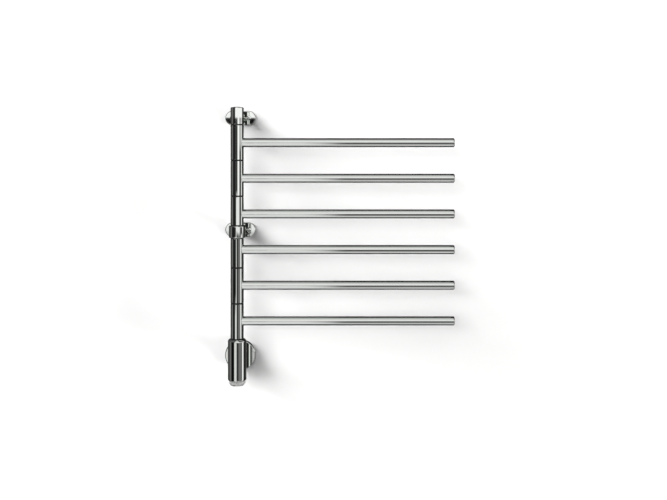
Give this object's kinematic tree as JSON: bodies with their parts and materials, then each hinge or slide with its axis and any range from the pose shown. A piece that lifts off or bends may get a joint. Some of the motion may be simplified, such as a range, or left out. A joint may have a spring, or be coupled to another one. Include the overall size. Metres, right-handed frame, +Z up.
{
  "type": "electric heated towel rail",
  "caption": "Wall-mounted electric heated towel rail: round bars on hub sleeves that swing about an upright post, three wall brackets and a control housing with a fluted knob below.",
  "frame": {"origin": "centre of the lower wall plate, on the wall's face", "axes": "+X along the bars at rest, +Y into the wall, +Z up along the post"},
  "size_m": [0.5695, 0.1365, 0.6791],
  "materials": {
    "polished_chrome": "mirror-polished chrome plate",
    "zinc_steel": "zinc-plated steel",
    "stainless": "plain drawn stainless steel",
    "brass": "turned brass",
    "bush_polymer": "dark bearing polymer",
    "seal_rubber": "black rubber",
    "control_plastic": "black moulded plastic",
    "terminal_plastic": "off-white moulded plastic",
    "board_laminate": "green circuit laminate",
    "fuse_ceramic": "glazed white tube",
    "loom_sleeve": "glass-fibre sleeving",
    "element_sheath": "heat-tinted steel sheath",
    "knob_chrome": "satin chrome plate over fine flutes",
    "pointer_paint": "gloss black"
  },
  "bodies": {
    "fixed_frame": {"core_tube": "stainless", "stop_pins": "stainless", "wiring_loom": "loom_sleeve", "top_head": "polished_chrome", "top_nut": "brass", "top_cap": "polished_chrome", "middle_collar": "polished_chrome", "top_arm": "polished_chrome", "middle_arm": "polished_chrome", "top_flange": "polished_chrome", "middle_flange": "polished_chrome", "arm_screws": "zinc_steel", "wall_screws": "zinc_steel", "grub_screws": "zinc_steel", "lower_arm": "polished_chrome", "wall_plate": "zinc_steel", "lower_rose": "polished_chrome", "cable_gland": "seal_rubber", "control_housing": "polished_chrome", "core_nut": "brass", "end_plate": "control_plastic", "end_plate_seal": "seal_rubber", "end_plate_screws": "zinc_steel", "rotary_control": "control_plastic", "circuit_board": "board_laminate", "terminal_block": "terminal_plastic", "thermal_fuse": "fuse_ceramic"},
    "arm_1": {"hub_1": "polished_chrome", "bushes_1": "bush_polymer", "bar_1": "polished_chrome", "bar_cap_1": "polished_chrome", "bar_element_1": "element_sheath"},
    "arm_2": {"hub_2": "polished_chrome", "bushes_2": "bush_polymer", "bar_2": "polished_chrome", "bar_cap_2": "polished_chrome", "bar_element_2": "element_sheath"},
    "arm_3": {"hub_3": "polished_chrome", "bushes_3": "bush_polymer", "bar_3": "polished_chrome", "bar_cap_3": "polished_chrome", "bar_element_3": "element_sheath"},
    "arm_4": {"hub_4": "polished_chrome", "bushes_4": "bush_polymer", "bar_4": "polished_chrome", "bar_cap_4": "polished_chrome", "bar_element_4": "element_sheath"},
    "arm_5": {"hub_5": "polished_chrome", "bushes_5": "bush_polymer", "bar_5": "polished_chrome", "bar_cap_5": "polished_chrome", "bar_element_5": "element_sheath"},
    "arm_6": {"hub_6": "polished_chrome", "bushes_6": "bush_polymer", "bar_6": "polished_chrome", "bar_cap_6": "polished_chrome", "bar_element_6": "element_sheath"},
    "knob": {"control_knob": "knob_chrome", "control_shaft": "stainless", "knob_pointer": "pointer_paint"}
  },
  "joints": [
    {"name": "arm_1_swing", "type": "hinge", "parent": "fixed_frame", "child": "arm_1", "pos_m": [0, -0.08, 0.099], "axis": [0, 0, -1], "range_deg": [0, 180]},
    {"name": "arm_2_swing", "type": "hinge", "parent": "fixed_frame", "child": "arm_2", "pos_m": [0, -0.08, 0.186], "axis": [0, 0, -1], "range_deg": [0, 180]},
    {"name": "arm_3_swing", "type": "hinge", "parent": "fixed_frame", "child": "arm_3", "pos_m": [0, -0.08, 0.273], "axis": [0, 0, -1], "range_deg": [0, 180]},
    {"name": "arm_4_swing", "type": "hinge", "parent": "fixed_frame", "child": "arm_4", "pos_m": [0, -0.08, 0.36], "axis": [0, 0, -1], "range_deg": [0, 180]},
    {"name": "arm_5_swing", "type": "hinge", "parent": "fixed_frame", "child": "arm_5", "pos_m": [0, -0.08, 0.447], "axis": [0, 0, -1], "range_deg": [0, 180]},
    {"name": "arm_6_swing", "type": "hinge", "parent": "fixed_frame", "child": "arm_6", "pos_m": [0, -0.08, 0.534], "axis": [0, 0, -1], "range_deg": [0, 180]},
    {"name": "knob_turn", "type": "hinge", "parent": "fixed_frame", "child": "knob", "pos_m": [0, -0.08, -0.05], "axis": [0, 0, -1], "range_deg": [0, 270]}
  ]
}
